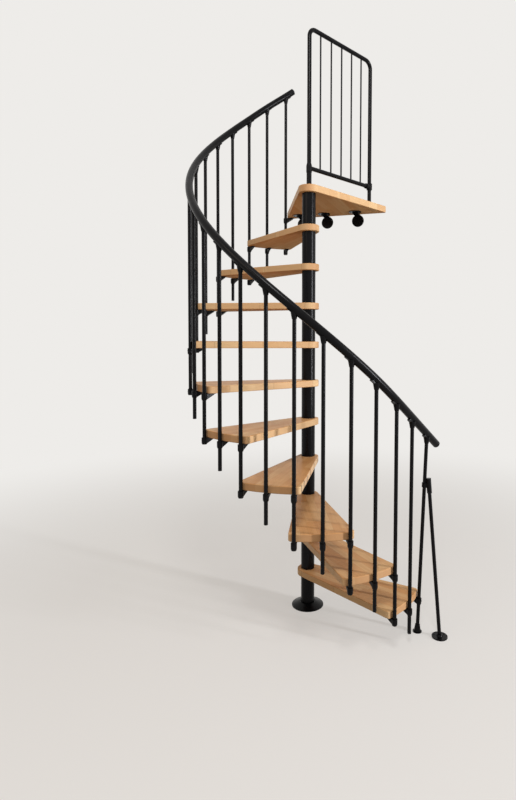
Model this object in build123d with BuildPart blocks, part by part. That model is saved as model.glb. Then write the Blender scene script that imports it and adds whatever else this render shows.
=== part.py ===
from build123d import *
import math
import os

# Spiral stair round a central pole: wooden wedge treads, steel balusters, one helical handrail.
# Origin at floor level on the pole's axis. Plan angles run anticlockwise from +X, seen from above.
# The stair climbs clockwise and arrives at a landing whose far edge runs along X.

# Stair as a whole
rise = 230.0                    # floor to first tread, tread to tread, last tread to landing
tread_count = 10
tread_turn = 22.92              # plan angle between two treads, degrees
baluster_circle = 692.0         # radius on which the balusters stand
landing_baluster_angle = 122.0  # plan angle of the topmost baluster

# Central pole
core_diameter = 48.0
core_wall = 3.0
sleeve_diameter = 81.0
sleeve_wall = 2.5
core_clearance = 0.5            # round the core, in treads, sleeves and covers
base_plate_thickness = 6.0
base_plate_margin = 12.0        # plate's edge inside the cover's edge
anchor_circle = 140.0
anchor_hole_diameter = 12.0
anchor_count = 4
base_cover_diameter = 192.0
base_cover_height = 24.0
base_cover_rim = 5.0
base_cover_wall = 2.0
base_cover_lip = 8.0            # level ring of the cover round the pole

# Treads and landing board
tread_thickness = 38.0
tread_nose_radius = 62.0        # rounded end of the board round the pole
tread_corner_radius = 20.0
tread_overhang = 31.0           # outer edge, past the baluster at each corner
baluster_gap = 3.0              # between a baluster and the board beside it
board_edge_round = 4.0
landing_thickness = 42.0
landing_corner_radius = 14.0
landing_baluster_back = 25.0    # topmost baluster, short of the edge along the upper floor

# Balusters and their brackets
baluster_diameter = 20.0
bore_clearance = 0.4            # on the diameter, wherever a bar passes a bracket
bracket_height = 35.0
bracket_seat = 1.0              # top of the collar, below the board's underside
bracket_collar_diameter = 30.0
bracket_tip_diameter = 25.0     # lower end of the collar
bracket_taper = 8.0             # height over which the collar narrows to it
bracket_plate_length = 62.0     # from the baluster's axis inwards, under the board
bracket_plate_width = 28.0
bracket_plate_thickness = 4.0
gusset_reach = 54.0             # web between plate and collar, from the baluster's axis
gusset_thickness = 14.0
gusset_tip = 9.0                # depth of the web at its far end
bracket_floor = 6.0             # closed end of the cups under the corner balusters
middle_baluster_drop = 186.0    # free end of a middle baluster, below its tread's top
middle_baluster_clear = 60.0    # least height of such an end over the floor

# Handrail
rail_diameter = 42.0
rail_height = 1090.0            # rail's axis over the floor at the end baluster, as a helix
rail_climb_less = 26.0          # the rail climbs less than the treads, over the whole flight
rail_overrun_low = 7.0          # degrees past the end baluster
rail_overrun_high = 4.2         # degrees past the topmost baluster
rail_straight_turn = 17.5       # the lower end runs straight up to here, degrees
rail_relax_turn = 9.0           # the top end climbs less over this last turn, degrees
rail_end_slope = 0.70           # climb of both ends, per length in plan
rail_bend_count = 20
rail_cap_rim = 2.0
rail_cap_dome = 8.0
saddle_diameter = 24.0
saddle_top_diameter = 38.0
saddle_height = 23.0            # below the rail's underside
saddle_shoe_length = 58.0
saddle_shoe_width = 22.0
saddle_shoe_depth = 3.0
saddle_clearance = 0.3          # between the saddle and the rail

# End baluster's foot and its side strut
foot_diameter = 50.0
foot_thickness = 5.0
foot_cone_diameter = 38.0
foot_cone_top_diameter = 26.0
foot_cone_height = 38.0
strut_diameter = 20.0
strut_clamp_height = 830.0
strut_clamp_diameter = 29.0
strut_clamp_width = 24.0
strut_socket_diameter = 27.0
strut_socket_length = 80.0
strut_socket_gap = 2.0          # between the baluster and the socket beside it
strut_foot_reach = 118.0        # strut's foot, outside the circle of the balusters
strut_foot_diameter = 86.0
strut_foot_thickness = 7.0
strut_boss_diameter = 34.0
strut_boss_top_diameter = 26.0
strut_boss_height = 10.0

# Landing guard
guard_tube_diameter = 25.0
guard_short = 52.0              # guard's length, less than the landing's depth
guard_edge_inset = 41.0         # far post's axis, inside the board's side
guard_height = 921.0            # landing top to the top rail's axis
guard_low_rail_height = 109.0
guard_bend_radius = 48.0
guard_bar_count = 5
guard_bar_diameter = 10.0
guard_socket_diameter = 30.0
guard_socket_height = 81.0
guard_collar_diameter = 34.0
guard_collar_height = 40.0
guard_collar_taper = 14.0
guard_post_seat = 40.0          # foot of the near post over the landing
guard_seat_gap = 0.2
guard_clamp_diameter = 37.0
guard_clamp_height = 40.0
guard_clamp_reach = 38.0        # from the far post's axis along the low rail

# Flanges that fasten the landing to the edge of the upper floor
wall_flange_diameter = 84.0
wall_flange_thickness = 5.0
wall_flange_places = (-240.0, -60.0, 160.0)   # along X
wall_flange_lead = 92.0         # centre of the flange under the board, in front of the edge
wall_flange_gap = 1.0           # between the board's underside and the upright flange
wall_strap_width = 40.0
wall_strap_thickness = 6.0

# Places worked out from the sizes above
half_turn = tread_turn / 2
end_baluster = 0
top_baluster = 2 * tread_count
end_angle = landing_baluster_angle + top_baluster * half_turn
landing_top = (tread_count + 1) * rise
landing_depth = landing_baluster_back + baluster_circle * math.sin(
    math.radians(landing_baluster_angle))
guard_length = landing_depth - guard_short
tread_reach = baluster_circle - baluster_diameter / 2 - baluster_gap
tread_half_angle = half_turn + math.degrees(tread_overhang / tread_reach)
rail_slope = (tread_count * rise - rail_climb_less) / (
    baluster_circle * math.radians(tread_count * tread_turn))
rail_relax_start = top_baluster * half_turn - rail_relax_turn
side_lean = math.degrees(math.asin(
    (tread_nose_radius + baluster_diameter / 2 + baluster_gap) / baluster_circle))
landing_side_angle = (landing_baluster_angle - 90) - side_lean

os.makedirs("parts", exist_ok=True)


def write(builder, name):
    """Label a finished sub-part and write its STEP file."""
    builder.part.label = name
    export_step(builder.part, f"parts/{name}.step")


def plan_point(radius, angle, height):
    """Point at a radius and plan angle (degrees) about the pole."""
    turn = math.radians(angle)
    return Vector(radius * math.cos(turn), radius * math.sin(turn), height)


def baluster_angle(number):
    """Plan angle of a baluster, counted from 0 at the lower end."""
    return end_angle - number * half_turn


def rail_centre(turn):
    """Point on the rail's axis, by the plan angle up from the end baluster."""
    bent = min(max(turn, rail_straight_turn), rail_relax_start)
    height = rail_height + rail_slope * baluster_circle * math.radians(bent)
    past = math.radians(turn - bent)
    if past > 0:
        height += rail_end_slope * baluster_circle * past
        return plan_point(baluster_circle, end_angle - turn, height)
    height += rail_end_slope * baluster_circle * math.tan(past)
    return plan_point(baluster_circle / math.cos(past), end_angle - turn, height)


def rail_direction(turn):
    """Unit direction of the rail at that angle, going up."""
    heading = end_angle - max(turn, rail_straight_turn) - 90
    climb = rail_slope if rail_straight_turn < turn < rail_relax_start else rail_end_slope
    return (plan_point(1, heading, 0) + Vector(0, 0, climb)).normalized()


def carrier_height(number):
    """Underside of the board whose bracket guides this baluster."""
    if number == top_baluster:
        return landing_top - landing_thickness
    return (number // 2 + 1) * rise - tread_thickness


def baluster_plane(number):
    """Plane across a baluster under its board: Z up the bar, X away from the pole."""
    seat = plan_point(baluster_circle, baluster_angle(number), carrier_height(number))
    top = rail_centre(number * half_turn)
    outward = plan_point(1, baluster_angle(number), 0)
    up = (top - seat).normalized()
    return Plane(origin=seat, x_dir=outward - up * outward.dot(up), z_dir=up)


# Base plate, bolted to the floor under its cover
with BuildPart() as base_plate:
    Cylinder(base_cover_diameter / 2 - base_plate_margin, base_plate_thickness,
             align=(Align.CENTER, Align.CENTER, Align.MIN))
    fillet(base_plate.edges().group_by(Axis.Z)[-1], 1.0)
    with PolarLocations(anchor_circle / 2, anchor_count, start_angle=45):
        Hole(anchor_hole_diameter / 2)
write(base_plate, "base_plate")

# Low cone that hides the base plate
with BuildPart() as base_cover:
    with BuildSketch(Plane.XZ):
        with BuildLine():
            cover_bore = sleeve_diameter / 2 + core_clearance
            cover_edge = base_cover_diameter / 2
            Polyline(
                (cover_bore, base_cover_height),
                (cover_bore + base_cover_lip, base_cover_height),
                (cover_edge - 1, base_cover_rim),
                (cover_edge, base_cover_rim - 1),
                (cover_edge, 0),
                (cover_edge - base_cover_wall, 0),
                (cover_edge - base_cover_wall, base_cover_rim - base_cover_wall),
                (cover_bore + base_cover_lip, base_cover_height - base_cover_wall),
                (cover_bore, base_cover_height - base_cover_wall),
                close=True,
            )
        make_face()
    revolve(axis=Axis.Z)
write(base_cover, "base_cover")

# Core tube from the base plate to the landing's top
with BuildPart() as pole_core:
    with BuildSketch(Plane.XY.offset(base_plate_thickness)):
        Circle(core_diameter / 2)
        Circle(core_diameter / 2 - core_wall, mode=Mode.SUBTRACT)
    extrude(amount=landing_top - base_plate_thickness)
write(pole_core, "pole_core")

# Sleeves that space the boards apart, one under each
with BuildPart() as pole_sleeves:
    for storey in range(tread_count + 1):
        low = storey * rise if storey else base_plate_thickness
        board = landing_thickness if storey == tread_count else tread_thickness
        with BuildSketch(Plane.XY.offset(low)):
            Circle(sleeve_diameter / 2)
            Circle(sleeve_diameter / 2 - sleeve_wall, mode=Mode.SUBTRACT)
        extrude(amount=(storey + 1) * rise - board - low)
write(pole_sleeves, "pole_sleeves")


def wedge_board(plane, side_angle, far_edge, corner_radius, thickness):
    """Wooden board in a plane whose X runs from the pole along its middle.

    Its sides leave the round nose as tangents. far_edge is the curve that closes it,
    as a function called inside the line builder, which returns the edge."""
    with BuildPart() as board:
        with BuildSketch(plane) as outline:
            with BuildLine():
                edge = far_edge()
                nose_turn = side_angle + 90
                nose = CenterArc((0, 0), tread_nose_radius, nose_turn, 360 - 2 * nose_turn)
                Line(edge @ 1, nose @ 0)
                Line(nose @ 1, edge @ 0)
            make_face()
            fillet(outline.vertices().group_by(Axis.X)[-1], corner_radius)
            Circle(core_diameter / 2 + core_clearance, mode=Mode.SUBTRACT)
        extrude(amount=-thickness)
        faces = board.faces().filter_by(Axis.Z)
        rim = [wire.edges() for face in faces for wire in [face.outer_wire()]]
        fillet([e for edges in rim for e in edges], board_edge_round)
    return board


def tread_edge():
    """Outer edge of a tread: an arc about the pole."""
    return CenterArc((0, 0), tread_reach, -tread_half_angle, 2 * tread_half_angle)


def landing_edge():
    """Far edge of the landing: straight, along the upper floor."""
    side = math.radians(landing_side_angle)
    reach = (tread_nose_radius + landing_depth * math.sin(side)) / math.cos(side)
    return Line((landing_depth, -reach), (landing_depth, reach))


# Ten treads, numbered from the floor
tread_side_angle = tread_half_angle - math.degrees(math.asin(tread_nose_radius / tread_reach))
for number in range(1, tread_count + 1):
    middle = baluster_angle(2 * number - 1)
    tread_plane = Plane(origin=(0, 0, number * rise), x_dir=plan_point(1, middle, 0),
                        z_dir=(0, 0, 1))
    tread = wedge_board(tread_plane, tread_side_angle, tread_edge,
                        tread_corner_radius, tread_thickness)
    write(tread, f"tread_{number:02d}")

# Landing board at the height of the upper floor
landing_plane = Plane(origin=(0, 0, landing_top), x_dir=(0, 1, 0), z_dir=(0, 0, 1))
landing_board = wedge_board(landing_plane, landing_side_angle, landing_edge,
                            landing_corner_radius, landing_thickness)
write(landing_board, "landing_board")


def bracket(plane, inward, closed, collar_diameter):
    """Collar round a baluster, with a plate screwed under the board and a web between them.

    plane lies across the baluster at the board's underside, inward points under the board.
    A closed bracket is a cup that the baluster's end stands in."""
    tip = bracket_tip_diameter / 2
    collar = collar_diameter / 2
    level = Plane(origin=plane.origin, x_dir=inward, z_dir=(0, 0, 1))
    half_section = Plane(origin=plane.origin, x_dir=plane.x_dir, z_dir=-plane.y_dir)
    with BuildSketch(half_section) as profile:
        with BuildLine():
            Polyline((0, -bracket_seat), (collar, -bracket_seat),
                     (collar, bracket_taper - bracket_height), (tip, -bracket_height),
                     (0, -bracket_height), close=True)
        make_face()
    revolve(profile.sketch, axis=Axis(plane.origin, plane.z_dir))
    with BuildSketch(level.offset(-bracket_plate_thickness)) as plate:
        with Locations((bracket_plate_length / 2, 0)):
            RectangleRounded(bracket_plate_length, bracket_plate_width, 6)
        Circle(bracket_plate_width / 2)
    extrude(plate.sketch, amount=bracket_plate_thickness)
    web_low = bracket_taper / 2 - bracket_height
    with BuildSketch(Plane(origin=plane.origin, x_dir=inward,
                           z_dir=inward.cross(Vector(0, 0, 1)))) as web:
        with BuildLine():
            Polyline((0, -bracket_seat), (gusset_reach, -bracket_plate_thickness / 2),
                     (gusset_reach, -gusset_tip), (collar - 2, web_low), (0, web_low), close=True)
        make_face()
    extrude(web.sketch, amount=gusset_thickness / 2, both=True)
    depth = bracket_height - bracket_floor if closed else bracket_height + 5
    with BuildSketch(plane.offset(5)) as bore:
        Circle((baluster_diameter + bore_clearance) / 2)
    extrude(bore.sketch, amount=-depth - 5, mode=Mode.SUBTRACT)


def baluster(number, bottom):
    """Round bar from a height (or from its foot) to just under the rail."""
    plane = baluster_plane(number)
    drop = plane.origin.Z - bottom
    reach = (rail_centre(number * half_turn) - plane.origin).length
    under_rail = rail_diameter / 2 * math.sqrt(1 + rail_slope ** 2)
    top_gap = under_rail + baluster_diameter / 2 * rail_slope + 1
    with BuildSketch(plane.offset(-drop / plane.z_dir.Z)) as section:
        Circle(baluster_diameter / 2)
    extrude(section.sketch, amount=drop / plane.z_dir.Z + reach - top_gap)


# Balusters, by the tread whose lower corner and middle they pass; the last tread also
# holds the topmost one, which rises past the landing's corner
for number in range(1, tread_count + 1):
    corner = 2 * number - 2
    middle = 2 * number - 1
    with BuildPart() as balusters:
        if corner == end_baluster:
            baluster(corner, 0)
            split(bisect_by=Plane.XY.offset(foot_thickness), keep=Keep.TOP)
        else:
            baluster(corner, (number - 1) * rise - tread_thickness
                     - bracket_height + bracket_floor)
        baluster(middle, max(number * rise - middle_baluster_drop, middle_baluster_clear))
        if number == tread_count:
            baluster(top_baluster, number * rise - tread_thickness
                     - bracket_height + bracket_floor)
    write(balusters, f"balusters_{number:02d}")

# Baluster brackets, by the tread that they are screwed under
for number in range(1, tread_count + 1):
    below = number * rise - tread_thickness
    with BuildPart() as brackets:
        for spot in (2 * number - 2, 2 * number - 1):
            bracket(baluster_plane(spot), -plan_point(1, baluster_angle(spot), 0),
                    False, bracket_collar_diameter)
        cup_angle = baluster_angle(2 * number)
        cup_plane = Plane(origin=plan_point(baluster_circle, cup_angle, below),
                          x_dir=plan_point(1, cup_angle, 0), z_dir=(0, 0, 1))
        bracket(cup_plane, -plan_point(1, cup_angle, 0), True, bracket_collar_diameter)
    write(brackets, f"brackets_{number:02d}")

# Handrail: a tube bent into a helix over the balusters, its lower end left straight
rail_low = -rail_overrun_low
rail_high = top_baluster * half_turn + rail_overrun_high
bend_turn = (rail_high - rail_straight_turn) / rail_bend_count
bend_spread = baluster_circle / math.cos(math.radians(bend_turn / 2))
rail_points = [rail_centre(rail_low)]
for bend in range(rail_bend_count):
    bend_at = rail_straight_turn + (bend + 0.5) * bend_turn
    on_axis = rail_centre(bend_at)
    rail_points.append(plan_point(bend_spread, end_angle - bend_at, on_axis.Z))
rail_points.append(rail_centre(rail_high))
rail_radii = []
for before, corner, after in zip(rail_points, rail_points[1:], rail_points[2:]):
    bend_angle = (corner - before).get_angle(after - corner)
    shorter = min((corner - before).length, (after - corner).length)
    rail_radii.append(0.48 * shorter / math.tan(math.radians(bend_angle / 2)))
print("handrail radii", [round(radius) for radius in rail_radii])
with BuildPart() as handrail:
    with BuildLine() as rail_axis:
        FilletPolyline(*rail_points, radius=rail_radii)
    with BuildSketch(Plane(origin=rail_axis.line @ 0, z_dir=rail_axis.line % 0)):
        Circle(rail_diameter / 2)
    sweep()
write(handrail, "handrail")

# Domed plugs in both ends of the handrail
with BuildPart() as handrail_caps:
    for at, outward in ((0, -1), (1, 1)):
        end = Plane(origin=rail_axis.line @ at, z_dir=(rail_axis.line % at) * outward)
        with BuildSketch(Plane(origin=end.origin, x_dir=end.x_dir, z_dir=-end.y_dir)) as dome:
            with BuildLine():
                rim = rail_diameter / 2
                ball = (rim ** 2 + rail_cap_dome ** 2) / (2 * rail_cap_dome)
                Polyline((0, rail_cap_rim + rail_cap_dome), (0, 0), (rim, 0), (rim, rail_cap_rim))
                RadiusArc((rim, rail_cap_rim), (0, rail_cap_rim + rail_cap_dome), -ball)
            make_face()
        revolve(dome.sketch, axis=Axis(end.origin, end.z_dir))
write(handrail_caps, "handrail_caps")

# Room that the rail takes up in its saddles
with BuildPart() as rail_room:
    with BuildSketch(Plane(origin=rail_axis.line @ 0, z_dir=rail_axis.line % 0)):
        Circle(rail_diameter / 2 + saddle_clearance)
    sweep(path=rail_axis.line)

# Saddles between the balusters' tops and the rail
with BuildPart() as handrail_saddles:
    for number in range(top_baluster + 1):
        turn = number * half_turn
        centre = rail_centre(turn)
        along = rail_direction(turn)
        stem_plane = Plane(origin=centre, x_dir=baluster_plane(number).x_dir,
                           z_dir=baluster_plane(number).z_dir)
        under = rail_diameter / 2 * math.sqrt(1 + rail_slope ** 2)
        with BuildSketch(stem_plane.offset(-under - saddle_height)):
            Circle(saddle_diameter / 2)
        with BuildSketch(stem_plane.offset(-under / 2)):
            Circle(saddle_top_diameter / 2)
        loft()
        across = along.cross(Vector(0, 0, 1)).normalized()
        shoe_plane = Plane(origin=centre, x_dir=along, z_dir=across.cross(along))
        with BuildSketch(shoe_plane.offset(-rail_diameter / 2 - saddle_shoe_depth)):
            RectangleRounded(saddle_shoe_length, saddle_shoe_width, 8)
        extrude(amount=saddle_shoe_depth + rail_diameter / 4)
        with BuildSketch(stem_plane.offset(-under - saddle_height - 5)):
            Circle((baluster_diameter + bore_clearance) / 2)
        extrude(amount=5 + saddle_height - baluster_diameter / 2 * rail_slope - 0.7,
                mode=Mode.SUBTRACT)
    add(rail_room.part, mode=Mode.SUBTRACT)
write(handrail_saddles, "handrail_saddles")

# Foot of the end baluster and foot of the strut, both flat on the floor
end_axis = baluster_plane(end_baluster)
end_floor = end_axis.origin - end_axis.z_dir * (end_axis.origin.Z / end_axis.z_dir.Z)
strut_foot_point = plan_point(baluster_circle + strut_foot_reach, end_angle, 0)
clamp_point = end_axis.origin + end_axis.z_dir * (
    (strut_clamp_height - end_axis.origin.Z) / end_axis.z_dir.Z)
socket_offset = baluster_diameter / 2 + strut_socket_gap + strut_socket_diameter / 2
socket_point = clamp_point + end_axis.x_dir * socket_offset
strut_direction = (socket_point - strut_foot_point).normalized()
with BuildPart() as floor_feet:
    for place, axis_dir, disc, disc_height, wide, narrow, tall, bar in (
        (end_floor, end_axis.z_dir, foot_diameter, foot_thickness, foot_cone_diameter,
         foot_cone_top_diameter, foot_cone_height, baluster_diameter),
        (strut_foot_point, strut_direction, strut_foot_diameter, strut_foot_thickness,
         strut_boss_diameter, strut_boss_top_diameter, strut_boss_height, strut_diameter),
    ):
        with BuildSketch(Plane(origin=place)):
            Circle(disc / 2)
        extrude(amount=disc_height)
        with BuildSketch(Plane(origin=place + Vector(0, 0, disc_height))):
            Circle(wide / 2)
        with BuildSketch(Plane(origin=place + Vector(0, 0, disc_height)
                               + axis_dir * tall, z_dir=axis_dir)):
            Circle(narrow / 2)
        loft()
        seat = place + axis_dir * (disc_height / axis_dir.Z)
        with Locations(Plane(origin=seat, z_dir=axis_dir)):
            bar_space = Cylinder((bar + bore_clearance) / 2, 2 * tall, mode=Mode.PRIVATE)
        bar_space = split(bar_space, bisect_by=Plane.XY.offset(disc_height), keep=Keep.TOP,
                          mode=Mode.PRIVATE)
        add(bar_space, mode=Mode.SUBTRACT)
write(floor_feet, "floor_feet")

# Side strut from the end baluster to the floor
with BuildPart() as strut:
    strut_length = (socket_point - strut_foot_point).length + strut_socket_length / 2 - 5
    with BuildSketch(Plane(origin=strut_foot_point - strut_direction * 10,
                           z_dir=strut_direction)):
        Circle(strut_diameter / 2)
    extrude(amount=strut_length + 10)
    split(bisect_by=Plane.XY.offset(strut_foot_thickness), keep=Keep.TOP)
write(strut, "strut")

# Clamp on the end baluster with the strut's socket welded to it
with BuildPart() as strut_clamp:
    clamp_plane = Plane(origin=clamp_point, x_dir=end_axis.x_dir, z_dir=end_axis.z_dir)
    with BuildSketch(clamp_plane.offset(-strut_clamp_width / 2)):
        Circle(strut_clamp_diameter / 2)
        with Locations((socket_offset / 2, 0)):
            Rectangle(socket_offset, strut_diameter)
    extrude(amount=strut_clamp_width)
    with BuildSketch(Plane(origin=socket_point - strut_direction * strut_socket_length / 2,
                           z_dir=strut_direction)):
        Circle(strut_socket_diameter / 2)
    extrude(amount=strut_socket_length)
    with BuildSketch(clamp_plane.offset(-strut_socket_length)):
        Circle((baluster_diameter + bore_clearance) / 2)
    extrude(amount=2 * strut_socket_length, mode=Mode.SUBTRACT)
    with BuildSketch(Plane(origin=socket_point - strut_direction * strut_socket_length,
                           z_dir=strut_direction)):
        Circle((strut_diameter + bore_clearance) / 2)
    extrude(amount=strut_socket_length * 1.5 - 5, mode=Mode.SUBTRACT)
write(strut_clamp, "strut_clamp")

# Landing guard: its plane holds the pole's axis and the far post
inset_turn = math.degrees(math.asin((tread_nose_radius - guard_edge_inset) / guard_length))
guard_angle = 90 - landing_side_angle - inset_turn
guard_plane = Plane(origin=(0, 0, landing_top), x_dir=plan_point(1, guard_angle, 0),
                    z_dir=plan_point(1, guard_angle - 90, 0))
guard_along = plan_point(1, guard_angle, 0)
guard_up = Vector(0, 0, 1)
guard_foot = Vector(0, 0, landing_top)
tube_bore = (guard_tube_diameter + bore_clearance) / 2

# Fittings of the guard's two posts
with BuildPart() as guard_fittings:
    # The socket over the pole that the near post stands in
    with BuildSketch(Plane.XZ):
        with BuildLine():
            collar_low = landing_top + guard_socket_height
            collar_high = collar_low + guard_collar_height
            Polyline(
                (0, landing_top), (guard_socket_diameter / 2, landing_top),
                (guard_socket_diameter / 2, collar_low),
                (guard_collar_diameter / 2, collar_low + 2),
                (guard_collar_diameter / 2, collar_high),
                (tube_bore + 0.8, collar_high + guard_collar_taper),
                (0, collar_high + guard_collar_taper), close=True)
        make_face()
    revolve(axis=Axis.Z)
    with BuildSketch(Plane.XY.offset(landing_top + guard_post_seat - guard_seat_gap)):
        Circle(tube_bore)
    extrude(amount=guard_socket_height + guard_collar_height, mode=Mode.SUBTRACT)
    with BuildSketch(Plane(origin=guard_foot + guard_up * guard_low_rail_height,
                           z_dir=guard_along)):
        Circle(tube_bore)
    extrude(amount=guard_collar_diameter, mode=Mode.SUBTRACT)

    # The clamp that ties the low rail to the far post
    post = guard_foot + guard_along * guard_length + guard_up * guard_low_rail_height
    with BuildSketch(Plane(origin=post - guard_up * guard_clamp_height / 2)):
        Circle(guard_clamp_diameter / 2)
    extrude(amount=guard_clamp_height)
    with BuildSketch(Plane(origin=post, z_dir=-guard_along)):
        Circle(guard_collar_diameter / 2)
    extrude(amount=guard_clamp_reach)
    with BuildSketch(Plane(origin=post - guard_up * guard_clamp_height)):
        Circle(tube_bore)
    extrude(amount=2 * guard_clamp_height, mode=Mode.SUBTRACT)
    with BuildSketch(Plane(origin=post, z_dir=-guard_along)):
        Circle(tube_bore)
    extrude(amount=guard_clamp_reach + 5, mode=Mode.SUBTRACT)
write(guard_fittings, "guard_fittings")

# Bent tube: near post, top rail and far post in one
with BuildPart() as guard_frame:
    with BuildLine(guard_plane) as frame_axis:
        FilletPolyline((0, guard_post_seat), (0, guard_height), (guard_length, guard_height),
                       (guard_length, 0), radius=guard_bend_radius)
    with BuildSketch(Plane(origin=frame_axis.line @ 0, z_dir=frame_axis.line % 0)):
        Circle(guard_tube_diameter / 2)
    sweep()
write(guard_frame, "guard_frame")

# Low rail with the thin bars that rise from it
with BuildPart() as guard_bars:
    rail_start = guard_tube_diameter / 2 + 1.5
    with BuildSketch(Plane(origin=guard_foot + guard_up * guard_low_rail_height
                           + guard_along * rail_start, z_dir=guard_along)):
        Circle(guard_tube_diameter / 2)
    extrude(amount=guard_length - 2 * rail_start)
    for bar in range(1, guard_bar_count + 1):
        spot = guard_foot + guard_along * (guard_length * bar / (guard_bar_count + 1))
        with BuildSketch(Plane(origin=spot + guard_up * guard_low_rail_height)):
            Circle(guard_bar_diameter / 2)
        extrude(amount=guard_height - guard_low_rail_height)
    with BuildSketch(Plane(origin=guard_foot + guard_up * guard_height, z_dir=guard_along)):
        Circle(guard_tube_diameter / 2)
    extrude(amount=guard_length, mode=Mode.SUBTRACT)
write(guard_bars, "guard_bars")

# Metalwork under the landing: the topmost baluster's bracket, its plate along the far edge,
# and three fixings, each a round flange under the board, one on the upper floor and a strap
board_under = landing_top - landing_thickness
with BuildPart() as landing_brackets:
    bracket(baluster_plane(top_baluster), Vector(1, 0, 0), False, bracket_collar_diameter)
    for along_edge in wall_flange_places:
        board_flange = Plane(origin=(along_edge, landing_depth - wall_flange_lead, board_under))
        with BuildSketch(board_flange):
            Circle(wall_flange_diameter / 2)
        extrude(amount=-wall_flange_thickness)
        with BuildSketch(board_flange.offset(-wall_flange_thickness)):
            with Locations((0, wall_flange_lead / 2)):
                Rectangle(wall_strap_width, wall_flange_lead)
        extrude(amount=-wall_strap_thickness)
        drop = wall_flange_diameter / 2 + wall_flange_gap
        with BuildSketch(Plane(origin=(along_edge, landing_depth, board_under - drop),
                               z_dir=(0, -1, 0))):
            Circle(wall_flange_diameter / 2)
        extrude(amount=wall_flange_thickness)
write(landing_brackets, "landing_brackets")
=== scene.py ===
import math

import bpy
from mathutils import Matrix, Vector


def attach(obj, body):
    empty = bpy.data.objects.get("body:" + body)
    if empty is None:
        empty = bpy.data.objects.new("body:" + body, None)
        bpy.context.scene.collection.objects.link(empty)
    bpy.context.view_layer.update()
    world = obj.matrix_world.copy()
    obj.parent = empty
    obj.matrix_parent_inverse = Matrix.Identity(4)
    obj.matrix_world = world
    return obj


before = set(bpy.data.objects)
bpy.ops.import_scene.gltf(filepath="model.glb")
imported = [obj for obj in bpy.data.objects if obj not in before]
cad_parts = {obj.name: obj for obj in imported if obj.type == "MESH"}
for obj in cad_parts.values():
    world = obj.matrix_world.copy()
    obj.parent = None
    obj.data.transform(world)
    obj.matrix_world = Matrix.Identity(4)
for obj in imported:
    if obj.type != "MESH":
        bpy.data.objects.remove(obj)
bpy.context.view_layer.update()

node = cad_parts
bpy.context.scene.view_settings.view_transform = "Standard"


# Base and central pole. A steel plate bolted to the floor carries a core tube; a spun steel
# cover hides the bolts, and wide steel sleeves between the boards hide the core. All of it
# is powder coated black: sprayed as powder and baked, which leaves a faint orange peel.

def linear(hex_colour):
    """Linear colour with alpha from an sRGB hex value such as '#1a1a1c'."""
    parts = [int(hex_colour[i:i + 2], 16) / 255 for i in (1, 3, 5)]
    return [c / 12.92 if c <= 0.04045 else ((c + 0.055) / 1.055) ** 2.4 for c in parts] + [1.0]


def fill_sockets(material, shader, links):
    """Set or link a shader node's inputs. links are (input, value or output) pairs."""
    for socket, value in links:
        if isinstance(value, bpy.types.NodeSocket):
            material.node_tree.links.new(value, shader.inputs[socket])
        else:
            shader.inputs[socket].default_value = value


def add_node(material, kind, links=(), **settings):
    """Add a shader node with its own settings, and set or link its inputs."""
    made = material.node_tree.nodes.new(kind)
    for field, value in settings.items():
        setattr(made, field, value)
    fill_sockets(material, made, links)
    return made


def new_finish(name):
    """A new material, and the shader that it starts with."""
    material = bpy.data.materials.new(name)
    material.use_nodes = True
    return material, material.node_tree.nodes["Principled BSDF"]


def dress(material, *names):
    """Give CAD nodes this material."""
    for name in names:
        node[name].data.materials.clear()
        node[name].data.materials.append(material)


# Powder coat on steel: a dielectric skin over black pigment, satin, so lamps show as soft
# narrow streaks along the tubes. Handling leaves the gloss slightly uneven, in patches.
peel_scale = 120.0              # orange peel of 1.5 mm, drawn at 8 mm so that it shows
smudge_scale = 9.0              # patches a hand wide, 110 mm

powder_coat, coat = new_finish("black powder coat on steel")
coat_place = add_node(powder_coat, "ShaderNodeTexCoord")
peel = add_node(powder_coat, "ShaderNodeTexNoise",
                [("Vector", coat_place.outputs["Object"]), ("Scale", peel_scale),
                 ("Detail", 0.0)])
smudge = add_node(powder_coat, "ShaderNodeTexNoise",
                  [("Vector", coat_place.outputs["Object"]), ("Scale", smudge_scale),
                   ("Detail", 3.0)])
gloss = add_node(powder_coat, "ShaderNodeMapRange",
                 [("Value", smudge.outputs["Fac"]), ("From Min", 0.3), ("From Max", 0.7),
                  ("To Min", 0.24), ("To Max", 0.32)])
shade = add_node(powder_coat, "ShaderNodeMix",
                 [("Factor", smudge.outputs["Fac"]), ("A", linear("#060607")),
                  ("B", linear("#0c0b0e"))], data_type="RGBA")
relief = add_node(powder_coat, "ShaderNodeBump",
                  [("Height", peel.outputs["Fac"]), ("Strength", 0.03), ("Distance", 0.0004)])
fill_sockets(powder_coat, coat, [("Base Color", shade.outputs["Result"]),
                                 ("Roughness", gloss.outputs["Result"]),
                                 ("Normal", relief.outputs["Normal"]),
                                 ("IOR", 1.5), ("Specular IOR Level", 0.12)])

dress(powder_coat, "base_plate", "base_cover", "pole_core", "pole_sleeves")


# Treads. Ten boards of laminated beech: staves that run out from the pole, finger-jointed
# end to end and glued side by side, then sanded, their edges eased, and varnished. The
# outer edge cuts the staves across, so it shows their end grain as darker blocks.

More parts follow.
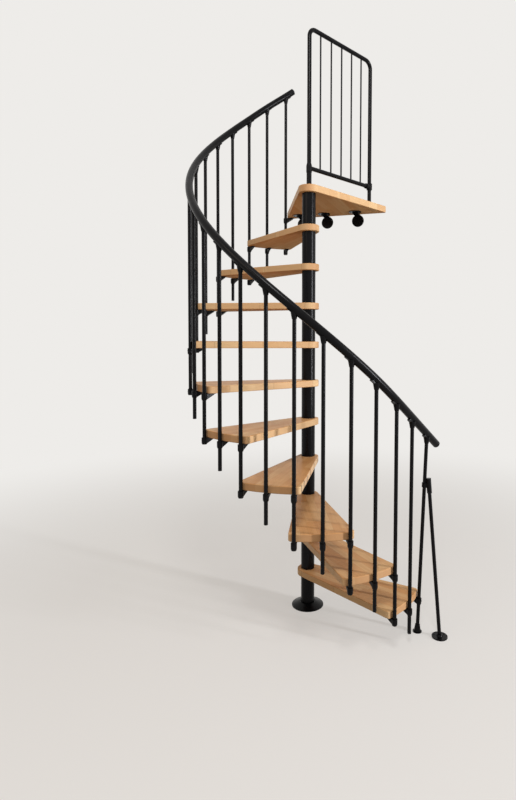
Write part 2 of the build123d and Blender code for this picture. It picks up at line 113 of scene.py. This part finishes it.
tread_turn = 22.92              # degrees in plan from each tread to the next
end_angle = 351.2               # plan angle of the lowest baluster
stave_width = 0.042
stave_length = 0.33
tooth_width = 0.0021            # half the pitch of the finger joint's teeth
tooth_slope = 4.0               # so the teeth are 8.4 mm long
grain_stretch = (0.06, 1.0, 1.0)
fleck_stretch = (0.16, 1.0, 1.0)
streak_scale = 120.0            # dark streaks 8 mm wide and 140 mm long
ring_scale = 34.0               # growth rings, cut flat: 30 mm wide and 0.5 m long
fleck_scale = 900.0             # flecks under 0.5 mm wide and 2 to 3 mm long
pore_scale = 420.0              # pores of 0.1 mm, drawn at 2.4 mm so that they show


def laminated_board(name, middle_angle):
    """Varnished beech of glued staves that run along the board's middle line."""
    wood, varnish = new_finish(name)
    here = add_node(wood, "ShaderNodeTexCoord")
    lay = (0.0, 0.0, -math.radians(middle_angle))
    along = add_node(wood, "ShaderNodeMapping",
                     [("Vector", here.outputs["Object"]), ("Rotation", lay)])
    part = add_node(wood, "ShaderNodeSeparateXYZ", [("Vector", along.outputs["Vector"])])

    # Which stave: counted sideways from the middle line
    count = add_node(wood, "ShaderNodeMath",
                     [(0, part.outputs["Y"]), (1, 1 / stave_width), (2, 0.5)],
                     operation="MULTIPLY_ADD")
    stave = add_node(wood, "ShaderNodeMath", [(0, count.outputs[0])], operation="FLOOR")
    across = add_node(wood, "ShaderNodeMath", [(0, count.outputs[0])], operation="FRACT")

    # Which length of that stave: shifted by chance, with the teeth of the finger joint
    board_stave = add_node(wood, "ShaderNodeMath",
                           [(0, stave.outputs[0]), (1, middle_angle)], operation="ADD")
    chance = add_node(wood, "ShaderNodeTexWhiteNoise",
                      [("W", board_stave.outputs[0])], noise_dimensions="1D")
    teeth = add_node(wood, "ShaderNodeMath",
                     [(0, part.outputs["Y"]), (1, tooth_width)], operation="PINGPONG")
    finger = add_node(wood, "ShaderNodeMath",
                      [(0, teeth.outputs[0]), (1, tooth_slope), (2, part.outputs["X"])],
                      operation="MULTIPLY_ADD")
    length = add_node(wood, "ShaderNodeMath",
                      [(0, finger.outputs[0]), (1, 1 / stave_length),
                       (2, chance.outputs["Value"])], operation="MULTIPLY_ADD")
    piece = add_node(wood, "ShaderNodeMath", [(0, length.outputs[0])], operation="FLOOR")
    within = add_node(wood, "ShaderNodeMath", [(0, length.outputs[0])], operation="FRACT")

    # Each block of wood has a tone of its own, within what one batch of beech has
    block = add_node(wood, "ShaderNodeCombineXYZ",
                     [("X", stave.outputs[0]), ("Y", piece.outputs[0]), ("Z", middle_angle)])
    tone = add_node(wood, "ShaderNodeTexWhiteNoise",
                    [("Vector", block.outputs["Vector"])], noise_dimensions="3D")
    base = add_node(wood, "ShaderNodeValToRGB", [("Fac", tone.outputs["Value"])])
    block_tones = base.color_ramp.elements
    block_tones[0].color = linear("#d8a168")
    block_tones[1].color = linear("#eac28c")
    block_tones.new(0.45).color = linear("#e1b07a")

    # Grain: long streaks, growth rings and short flecks, placed anew in each block
    shift = add_node(wood, "ShaderNodeVectorMath",
                     [(0, tone.outputs["Color"]), (1, (3.0, 3.0, 3.0))], operation="MULTIPLY")
    own = add_node(wood, "ShaderNodeVectorMath",
                   [(0, along.outputs["Vector"]), (1, shift.outputs["Vector"])],
                   operation="ADD")
    stretch = add_node(wood, "ShaderNodeMapping",
                       [("Vector", own.outputs["Vector"]), ("Scale", grain_stretch)])
    figure = add_node(wood, "ShaderNodeTexNoise",
                      [("Vector", stretch.outputs["Vector"]), ("Scale", streak_scale),
                       ("Detail", 5.0), ("Roughness", 0.62)])
    streaks = add_node(wood, "ShaderNodeMapRange",
                       [("Value", figure.outputs["Fac"]), ("From Min", 0.3),
                        ("From Max", 0.7), ("To Max", 0.26)])
    growth = add_node(wood, "ShaderNodeTexNoise",
                      [("Vector", stretch.outputs["Vector"]), ("Scale", ring_scale),
                       ("Detail", 2.0), ("Distortion", 0.6)])
    rings = add_node(wood, "ShaderNodeMapRange",
                     [("Value", growth.outputs["Fac"]), ("From Min", 0.42),
                      ("From Max", 0.62), ("To Max", 0.22)])
    fleck_room = add_node(wood, "ShaderNodeMapping",
                          [("Vector", own.outputs["Vector"]), ("Scale", fleck_stretch)])
    fleck = add_node(wood, "ShaderNodeTexNoise",
                     [("Vector", fleck_room.outputs["Vector"]), ("Scale", fleck_scale),
                      ("Detail", 1.0)])
    flecks = add_node(wood, "ShaderNodeMapRange",
                      [("Value", fleck.outputs["Fac"]), ("From Min", 0.62),
                       ("From Max", 0.72), ("To Max", 0.35)])

    # Glue lines: a hair of darker wood between staves, and a finer one at the finger joints
    lines = []
    for inside, near, at, depth in ((across, 0.482, 0.497, 0.45),
                                    (within, 0.498, 0.4997, 0.3)):
        off_middle = add_node(wood, "ShaderNodeMath",
                              [(0, inside.outputs[0]), (1, 0.5)], operation="SUBTRACT")
        distance = add_node(wood, "ShaderNodeMath",
                            [(0, off_middle.outputs[0])], operation="ABSOLUTE")
        line = add_node(wood, "ShaderNodeMapRange",
                        [("Value", distance.outputs[0]), ("From Min", near),
                         ("From Max", at), ("To Max", depth)])
        lines.append(line.outputs["Result"])
    glue = add_node(wood, "ShaderNodeMath", [(0, lines[0]), (1, lines[1])],
                    operation="MAXIMUM")

    # Painted light: upright faces are painted a paler straw, as if lit strongly from the side
    surface = add_node(wood, "ShaderNodeNewGeometry")
    above = add_node(wood, "ShaderNodeSeparateXYZ", [("Vector", surface.outputs["Normal"])])
    tilt = add_node(wood, "ShaderNodeMath", [(0, above.outputs["Z"])], operation="ABSOLUTE")
    painted_side_light = add_node(wood, "ShaderNodeMapRange",
                     [("Value", tilt.outputs[0]), ("From Min", 0.25), ("From Max", 0.7),
                      ("To Min", 0.32), ("To Max", 0.0)])

    # End grain on the outer edge: the cut ends of the staves soak up varnish and look darker.
    # The faces that look along the staves are the ones whose normal runs along mapped X.
    turned = add_node(wood, "ShaderNodeMapping",
                      [("Vector", surface.outputs["Normal"]), ("Rotation", lay)],
                      vector_type="NORMAL")
    facing = add_node(wood, "ShaderNodeSeparateXYZ", [("Vector", turned.outputs["Vector"])])
    end_on = add_node(wood, "ShaderNodeMath", [(0, facing.outputs["X"])],
                      operation="ABSOLUTE")
    end_grain = add_node(wood, "ShaderNodeMapRange",
                         [("Value", end_on.outputs[0]), ("From Min", 0.55),
                          ("From Max", 0.95), ("To Max", 0.48)])
    pores = add_node(wood, "ShaderNodeTexNoise",
                     [("Vector", own.outputs["Vector"]), ("Scale", pore_scale),
                      ("Detail", 3.0)])
    pore_tone = add_node(wood, "ShaderNodeMix",
                         [("Factor", pores.outputs["Fac"]), ("A", linear("#a0653a")),
                          ("B", linear("#c78d5c"))], data_type="RGBA")

    # The colours lie over each other in this order
    colour = base.outputs["Color"]
    # The straw layer is painted light on the upright faces, not a colour of the wood
    for share, over in ((streaks, linear("#b57945")), (rings, linear("#c78f59")),
                        (flecks, linear("#9a6437")), (glue, linear("#a06a38")),
                        (painted_side_light, linear("#efd9b0")), (end_grain, pore_tone.outputs["Result"])):
        layer = add_node(wood, "ShaderNodeMix",
                         [("Factor", share.outputs[0]), ("A", colour), ("B", over)],
                         data_type="RGBA")
        colour = layer.outputs["Result"]

    # Satin varnish on top and round the edges, only a thin matt sealer underneath
    sealer = add_node(wood, "ShaderNodeMapRange",
                      [("Value", above.outputs["Z"]), ("From Min", -0.9), ("From Max", -0.3),
                       ("To Min", 0.34), ("To Max", 0.0)])
    sheen = add_node(wood, "ShaderNodeMath",
                     [(0, figure.outputs["Fac"]), (1, 0.14), (2, 0.30)],
                     operation="MULTIPLY_ADD")
    satin = add_node(wood, "ShaderNodeMath",
                     [(0, sheen.outputs[0]), (1, sealer.outputs["Result"])], operation="ADD")
    height = add_node(wood, "ShaderNodeMath",
                      [(0, figure.outputs["Fac"]), (1, glue.outputs[0])],
                      operation="SUBTRACT")
    touch = add_node(wood, "ShaderNodeBump",
                     [("Height", height.outputs[0]), ("Strength", 0.10),
                      ("Distance", 0.0005)])
    fill_sockets(wood, varnish, [("Base Color", colour), ("Roughness", satin.outputs[0]),
                                 ("Normal", touch.outputs["Normal"]), ("IOR", 1.5),
                                 ("Specular IOR Level", 0.08)])
    return wood


for number in range(1, 11):
    tread_middle = end_angle - (number - 0.5) * tread_turn
    dress(laminated_board(f"laminated beech tread {number}", tread_middle),
          f"tread_{number:02d}")


# Landing board. The same beech, a little thicker and cut straight along the upper floor; its
# staves run from the pole to that edge.

dress(laminated_board("laminated beech landing", 90.0), "landing_board")


# Balusters and their brackets. Thin steel tubes, powder coated; cast collars with a plate
# under each board, coated alike. Four star-head screws hold each plate to the wood, a hex
# socket screw in the collar grips the tube, and a plastic plug closes each hanging tube.

baluster_circle = 0.692
half_turn = tread_turn / 2
rise = 0.230
tread_thickness = 0.038
landing_top = 11 * rise
landing_under = landing_top - 0.042
down = (0.0, 0.0, -1.0)

for number in range(1, 11):
    dress(powder_coat, f"balusters_{number:02d}", f"brackets_{number:02d}")

# Black oxide on steel: screws dipped hot, a thin dark film that leaves the metal's gleam
film_scale = 420.0              # the film's clouds, 0.5 mm, drawn at 2.4 mm

black_oxide, oxide = new_finish("black oxide on steel screws")
oxide_place = add_node(black_oxide, "ShaderNodeTexCoord")
oxide_film = add_node(black_oxide, "ShaderNodeTexNoise",
                      [("Vector", oxide_place.outputs["Object"]), ("Scale", film_scale),
                       ("Detail", 2.0)])
oxide_tint = add_node(black_oxide, "ShaderNodeMix",
                      [("Factor", oxide_film.outputs["Fac"]), ("A", linear("#1b1b1e")),
                       ("B", linear("#2b2a2c"))], data_type="RGBA")
oxide_gloss = add_node(black_oxide, "ShaderNodeMapRange",
                       [("Value", oxide_film.outputs["Fac"]), ("To Min", 0.34),
                        ("To Max", 0.50)])
fill_sockets(black_oxide, oxide, [("Base Color", oxide_tint.outputs["Result"]),
                                  ("Roughness", oxide_gloss.outputs["Result"]),
                                  ("Metallic", 1.0)])


def pick(piece, kind, chosen):
    """In edit mode, select only the faces or vertices that pass a test of place and normal."""
    bpy.ops.mesh.select_mode(type=kind)
    bpy.ops.mesh.select_all(action="DESELECT")
    bpy.ops.object.mode_set(mode="OBJECT")
    if kind == "FACE":
        for face in piece.data.polygons:
            face.select = chosen(face.center, face.normal)
    else:
        for corner in piece.data.vertices:
            corner.select = chosen(corner.co, corner.normal)
    bpy.ops.object.mode_set(mode="EDIT")


def looks_down(centre, normal):
    """True for the faces of a screw head or plug that look straight down."""
    return normal.z < -0.99


def hanging_disc(name, sides, radius, depth):
    """Start a small round piece that hangs from z = 0, and leave it in edit mode."""
    bpy.ops.object.select_all(action="DESELECT")
    bpy.ops.mesh.primitive_cylinder_add(vertices=sides, radius=radius, depth=depth,
                                        location=(0.0, 0.0, -depth / 2))
    disc = bpy.context.object
    disc.name = name
    bpy.ops.object.transform_apply(location=True)
    bpy.ops.object.mode_set(mode="EDIT")
    return disc


def socket_screw(name, head, height, rounding, drive, lobe):
    """A screw head with a socket: a ring of twelve corners, every other one drawn in."""
    screw = hanging_disc(name, sides=12, radius=head / 2, depth=height)
    pick(screw, "FACE", looks_down)
    bpy.ops.mesh.bevel(offset=rounding, segments=2, affect="EDGES")
    pick(screw, "FACE", looks_down)
    bpy.ops.mesh.inset(thickness=head / 2 - rounding - drive / 2)
    pick(screw, "VERT", lambda co, normal: co.xy.length < drive / 2 + 0.0001
         and round(math.degrees(math.atan2(co.x, co.y)) / 30) % 2 == 1)
    bpy.ops.transform.resize(value=(lobe, lobe, 1.0), center_override=(0.0, 0.0, 0.0))
    pick(screw, "FACE", lambda centre, normal: looks_down(centre, normal)
         and centre.xy.length < 0.0003)
    bpy.ops.mesh.extrude_region_move(
        TRANSFORM_OT_translate={"value": (0.0, 0.0, height * 0.6)})
    bpy.ops.object.mode_set(mode="OBJECT")
    return screw


def set_copies(name, master, spots, material):
    """Copy a piece to each spot and join the copies. spots are (point, way it faces) pairs.

    Each copy is turned on a little from the one before, as screws end at any angle.
    """
    bpy.ops.object.select_all(action="DESELECT")
    made = []
    for order, (point, outward) in enumerate(spots):
        copy = master.copy()
        copy.data = master.data.copy()
        bpy.context.collection.objects.link(copy)
        face = Vector(outward).to_track_quat("-Z", "Y").to_matrix().to_4x4()
        turned_in = Matrix.Rotation(math.radians(47.0 * order), 4, "Z")
        copy.matrix_world = Matrix.Translation(point) @ face @ turned_in
        copy.select_set(True)
        made.append(copy)
    bpy.context.view_layer.objects.active = made[0]
    bpy.ops.object.transform_apply(location=True, rotation=True, scale=True)
    if len(made) > 1:
        bpy.ops.object.join()
    joined = bpy.context.object
    joined.name = name
    bpy.ops.object.mode_set(mode="EDIT")
    bpy.ops.mesh.select_all(action="SELECT")
    bpy.ops.mesh.normals_make_consistent(inside=False)
    bpy.ops.object.mode_set(mode="OBJECT")
    bpy.ops.object.shade_smooth_by_angle(angle=math.radians(30.0))
    joined.data.materials.clear()
    joined.data.materials.append(material)
    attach(joined, "root")


def around(radius, angle, height):
    """Point at a radius and plan angle (degrees) about the pole."""
    turn = math.radians(angle)
    return Vector((radius * math.cos(turn), radius * math.sin(turn), height))


# The wood screws have a star socket, the clamp screws a hex one
wood_screw = socket_screw("wood_screw", head=0.0066, height=0.0022, rounding=0.0008,
                          drive=0.0030, lobe=0.7)
clamp_screw = socket_screw("clamp_screw", head=0.0060, height=0.0012, rounding=0.0003,
                           drive=0.0034, lobe=0.87)

plate_screw_reaches = (0.028, 0.050)            # from the baluster's axis inwards
plate_screw_side = 0.0105                       # either side of the plate's middle
plate_underside = Vector((0.0, 0.0, 0.004))     # below the board
collar_side = 0.0146                            # from the baluster's axis to the screw
collar_screw_drop = Vector((0.0, 0.0, 0.014))
plate_screws = []
collar_screws = []


def bracket_screws(seat, inward, beside, front):
    """Add the four screws of a bracket's plate and the one in its collar."""
    for reach in plate_screw_reaches:
        for side in (-plate_screw_side, plate_screw_side):
            spot = seat + inward * reach + beside * side
            plate_screws.append((spot - plate_underside, down))
    collar_screws.append((seat + front * collar_side - collar_screw_drop, front))


# Balusters stand half a tread apart, counted from 0 at the lowest corner. The tread that
# starts at a baluster or has its middle there has a bracket on it, and so has the tread that
# ends there.
bracket_places = [(place, place // 2 + 1) for place in range(20)]
bracket_places += [(place, place // 2) for place in range(2, 21, 2)]
for place, tread in bracket_places:
    bracket_angle = end_angle - place * half_turn
    outward = around(1.0, bracket_angle, 0.0)
    bracket_screws(around(baluster_circle, bracket_angle, tread * rise - tread_thickness),
                   -outward, Vector((-outward.y, outward.x, 0.0)), outward)
bracket_screws(around(baluster_circle, end_angle - 20 * half_turn, landing_under),
               Vector((1.0, 0.0, 0.0)), Vector((0.0, 1.0, 0.0)), Vector((0.0, -1.0, 0.0)))
set_copies("bracket_plate_screws", wood_screw, plate_screws, black_oxide)
set_copies("bracket_collar_screws", clamp_screw, collar_screws, black_oxide)

# Moulded plastic: black, with the dull fine grain of a spark-eroded mould
grit_scale = 1800.0             # mould grain of 0.1 mm, drawn at 0.6 mm

moulded, plastic = new_finish("moulded black polyamide")
grit_place = add_node(moulded, "ShaderNodeTexCoord")
grit = add_node(moulded, "ShaderNodeTexNoise",
                [("Vector", grit_place.outputs["Object"]), ("Scale", grit_scale),
                 ("Detail", 2.0)])
grit_gloss = add_node(moulded, "ShaderNodeMapRange",
                      [("Value", grit.outputs["Fac"]), ("To Min", 0.42), ("To Max", 0.58)])
grit_bump = add_node(moulded, "ShaderNodeBump",
                     [("Height", grit.outputs["Fac"]), ("Strength", 0.2),
                      ("Distance", 0.0002)])
fill_sockets(moulded, plastic, [("Base Color", linear("#131315")),
                                ("Roughness", grit_gloss.outputs["Result"]),
                                ("Normal", grit_bump.outputs["Normal"]), ("IOR", 1.53),
                                ("Specular IOR Level", 0.3)])

# A plug stands 2.6 mm out of its tube, with a round edge and a shallow dish in its end
tube_plug = hanging_disc("tube_plug", sides=24, radius=0.0099, depth=0.0026)
pick(tube_plug, "FACE", looks_down)
bpy.ops.mesh.bevel(offset=0.0016, segments=3, affect="EDGES")
pick(tube_plug, "FACE", looks_down)
bpy.ops.mesh.inset(thickness=0.003)
bpy.ops.mesh.extrude_region_move(TRANSFORM_OT_translate={"value": (0.0, 0.0, 0.0007)})
bpy.ops.object.mode_set(mode="OBJECT")

middle_baluster_drop = 0.186    # free end of a middle baluster, below its tread's top
middle_baluster_clear = 0.060   # least height of such an end over the floor
hanging_ends = []
for number in range(1, 11):
    low = max(number * rise - middle_baluster_drop, middle_baluster_clear)
    middle_angle = end_angle - (2 * number - 1) * half_turn
    hanging_ends.append((around(baluster_circle, middle_angle, low), down))
set_copies("baluster_end_plugs", tube_plug, hanging_ends, moulded)


# Handrail. One steel tube bent into a helix and powder coated, with a cast saddle on each
# baluster and a moulded plug in both ends.

dress(powder_coat, "handrail", "handrail_saddles")
dress(moulded, "handrail_caps")


# Side strut with its clamp, and the two feet on the floor. The strut's round foot is screwed
# down through three holes; a socket screw pinches the clamp on the end baluster.

strut_foot_reach = 0.118        # outside the circle of the balusters
strut_foot_thickness = 0.007
foot_screw_circle = 0.032
clamp_radius = 0.7153           # from the pole to the leaning baluster, at the clamp
clamp_height = 0.830
clamp_face = 0.0141             # from that baluster's axis

dress(powder_coat, "strut", "strut_clamp", "floor_feet")
strut_foot = around(baluster_circle + strut_foot_reach, end_angle, strut_foot_thickness)
foot_screws = [(strut_foot + around(foot_screw_circle, turn, 0.0), (0.0, 0.0, 1.0))
               for turn in (51.0, 171.0, 291.0)]
set_copies("strut_foot_screws", wood_screw, foot_screws, black_oxide)
clamp_side = around(1.0, end_angle - 90.0, 0.0)
clamp_spot = around(clamp_radius, end_angle, clamp_height) + clamp_side * clamp_face
set_copies("strut_clamp_screw", clamp_screw, [(clamp_spot, clamp_side)], black_oxide)


# Landing guard: a bent tube, a low rail with thin bars, and two fittings that socket screws
# pinch on the tube: a socket over the pole and a clamp at the far post.

guard_angle = 62.07             # far post, in plan
guard_length = 0.5598
guard_low_rail = 0.109          # its axis, over the landing
socket_screw_height = 0.101     # over the landing
clamp_screw_apart = Vector((0.0, 0.0, 0.011))   # above and below the low rail
socket_face = 0.0166            # from each post's axis to its screw
post_clamp_face = 0.0181

dress(powder_coat, "guard_frame", "guard_bars", "guard_fittings")
guard_front = around(1.0, guard_angle - 90.0, 0.0)
near_spot = (guard_front * socket_face
             + Vector((0.0, 0.0, landing_top + socket_screw_height)))
far_spot = (around(guard_length, guard_angle, landing_top + guard_low_rail)
            + guard_front * post_clamp_face)
set_copies("guard_socket_screws", clamp_screw,
           [(near_spot, guard_front), (far_spot + clamp_screw_apart, guard_front),
            (far_spot - clamp_screw_apart, guard_front)], black_oxide)


# Fixings under the landing. Each is a round flange screwed under the board, a strap, and a
# round flange screwed to the edge of the upper floor, all pressed from steel and coated.

landing_depth = 0.61185         # from the pole's axis to the board's straight edge
fixing_places = (-0.240, -0.060, 0.160)         # along that edge
flange_thickness = 0.005
board_flange_lead = 0.092       # centre of the flange under the board, in front of the edge
board_screw_circle = 0.033
edge_flange_drop = 0.043        # centre of the upright flange, below the board
edge_screw_circle = 0.031

dress(powder_coat, "landing_brackets")
board_flange_screws = []
edge_flange_screws = []
for along_edge in fixing_places:
    board_flange = Vector((along_edge, landing_depth - board_flange_lead,
                           landing_under - flange_thickness))
    for turn in (0.0, 180.0, 270.0):
        board_flange_screws.append((board_flange + around(board_screw_circle, turn, 0.0),
                                    down))
    for turn in (45.0, 135.0, 225.0, 315.0):
        lean = math.radians(turn)
        edge_flange_screws.append((
            (along_edge + edge_screw_circle * math.cos(lean),
             landing_depth - flange_thickness,
             landing_under - edge_flange_drop + edge_screw_circle * math.sin(lean)),
            (0.0, -1.0, 0.0)))
set_copies("landing_flange_screws", wood_screw, board_flange_screws, black_oxide)
set_copies("floor_edge_flange_screws", wood_screw, edge_flange_screws, black_oxide)

# The pieces that were copied are not part of the stair
for master in (wood_screw, clamp_screw, tube_plug):
    bpy.data.objects.remove(master)


# Floor, light and camera: a plain pale studio. The floor and the world look pale to the eye
# and in reflections, and keep a plain level as light on the stair. The floor keeps its
# shadow near the stair and fades into the background further out.

def seen_share(owner):
    """1 for rays from the eye, off a gloss or through glass, 0 for light that bounces."""
    path = add_node(owner, "ShaderNodeLightPath")
    seen = add_node(owner, "ShaderNodeMath",
                    [(0, path.outputs["Is Camera Ray"]), (1, path.outputs["Is Glossy Ray"])],
                    operation="MAXIMUM")
    shown = add_node(owner, "ShaderNodeMath",
                     [(0, seen.outputs[0]), (1, path.outputs["Is Transmission Ray"])],
                     operation="MAXIMUM")
    return shown.outputs[0]


backdrop = "#eeece9"
fade_start = 1.0                # metres from the pole
fade_end = 5.0

bpy.ops.object.select_all(action="DESELECT")
bpy.ops.mesh.primitive_plane_add(size=60.0, location=(0.0, 0.0, 0.0))
floor = bpy.context.object
floor.name = "studio_floor"
pale, pale_skin = new_finish("pale studio floor")
floor_shown = seen_share(pale)
floor_tone = add_node(pale, "ShaderNodeMix",
                      [("Factor", floor_shown), ("A", linear("#979592")),
                       ("B", linear("#e8e6e2"))], data_type="RGBA")
fill_sockets(pale, pale_skin, [("Base Color", floor_tone.outputs["Result"]),
                               ("Roughness", 0.9), ("Specular IOR Level", 0.1)])
floor_place = add_node(pale, "ShaderNodeTexCoord")
floor_reach = add_node(pale, "ShaderNodeVectorMath",
                       [(0, floor_place.outputs["Object"])], operation="LENGTH")
floor_fade = add_node(pale, "ShaderNodeMapRange",
                      [("Value", floor_reach.outputs["Value"]), ("From Min", fade_start),
                       ("From Max", fade_end), ("To Min", 0.48), ("To Max", 1.0)],
                      interpolation_type="SMOOTHSTEP")
floor_lift = add_node(pale, "ShaderNodeMath",
                      [(0, floor_shown), (1, floor_fade.outputs["Result"])],
                      operation="MULTIPLY")
floor_glow = add_node(pale, "ShaderNodeEmission", [("Color", linear(backdrop))])
floor_mix = add_node(pale, "ShaderNodeMixShader",
                     [("Fac", floor_lift.outputs[0]), (1, pale_skin.outputs["BSDF"]),
                      (2, floor_glow.outputs["Emission"])])
fill_sockets(pale, pale.node_tree.nodes["Material Output"],
             [("Surface", floor_mix.outputs["Shader"])])
floor.data.materials.append(pale)

world = bpy.context.scene.world or bpy.data.worlds.new("studio")
bpy.context.scene.world = world
world.use_nodes = True
sky_shown = seen_share(world)
sky_strength = add_node(world, "ShaderNodeMapRange",
                        [("Value", sky_shown), ("To Min", 0.36), ("To Max", 1.0)])
sky_colour = add_node(world, "ShaderNodeMix",
                      [("Factor", sky_shown), ("A", linear("#f6e8da")),
                       ("B", linear(backdrop))], data_type="RGBA")
fill_sockets(world, world.node_tree.nodes["Background"],
             [("Strength", sky_strength.outputs["Result"]),
              ("Color", sky_colour.outputs["Result"])])


def softbox(name, place, target, size, power, colour):
    """A rectangular area lamp that faces a point and doesn't show itself."""
    lamp = bpy.data.lights.new(name, "AREA")
    lamp.shape = "RECTANGLE"
    lamp.size, lamp.size_y = size
    lamp.energy = power
    lamp.color = linear(colour)[:3]
    holder = bpy.data.objects.new(name, lamp)
    bpy.context.scene.collection.objects.link(holder)
    holder.location = place
    holder.rotation_euler = (Vector(target) - Vector(place)).to_track_quat("-Z", "Y").to_euler()
    holder.visible_camera = False


# A tall narrow key light far to the right throws the balusters' shadows on the treads; a
# top light and a warm fill light keep the rest clear.
softbox("key light", place=(7.4, -1.04, 2.2), target=(0.0, 0.0, 1.3), size=(0.40, 3.6),
        power=435, colour="#f8f9ff")
softbox("top light", place=(1.0, -2.6, 4.6), target=(0.0, 0.0, 1.2), size=(0.9, 0.9),
        power=62, colour="#ffffff")
softbox("fill light", place=(-1.6, -3.0, 3.7), target=(0.0, 0.0, 1.1), size=(1.6, 1.6),
        power=20, colour="#ffead8")

# The camera stands 3.2 m from the pole at eye height and looks slightly down
picture_height = 800            # pixels, as are the focal length and the shifts
focal_length = 529.8
shift_right = -60.9
shift_up = -41.6
heading = math.radians(1.132 - 18.0)            # from +Y towards +X
pitch = math.radians(-2.395)
roll = math.radians(0.2415)
eye = Vector((0.9845, -3.0301, 1.642))

camera_data = bpy.data.cameras.new("camera")
camera = bpy.data.objects.new("camera", camera_data)
bpy.context.scene.collection.objects.link(camera)
bpy.context.scene.camera = camera
camera_data.sensor_fit = "VERTICAL"
camera_data.sensor_height = 36.0
camera_data.lens = focal_length * camera_data.sensor_height / picture_height
camera_data.shift_x = shift_right / picture_height
camera_data.shift_y = shift_up / picture_height
forward = Vector((math.sin(heading) * math.cos(pitch), math.cos(heading) * math.cos(pitch),
                  math.sin(pitch)))
level_right = forward.cross(Vector((0.0, 0.0, 1.0))).normalized()
level_up = level_right.cross(forward)
right = level_right * math.cos(roll) + level_up * math.sin(roll)
up = right.cross(forward)
aim = Matrix((right, up, -forward)).transposed().to_4x4()
camera.matrix_world = Matrix.Translation(eye) @ aim
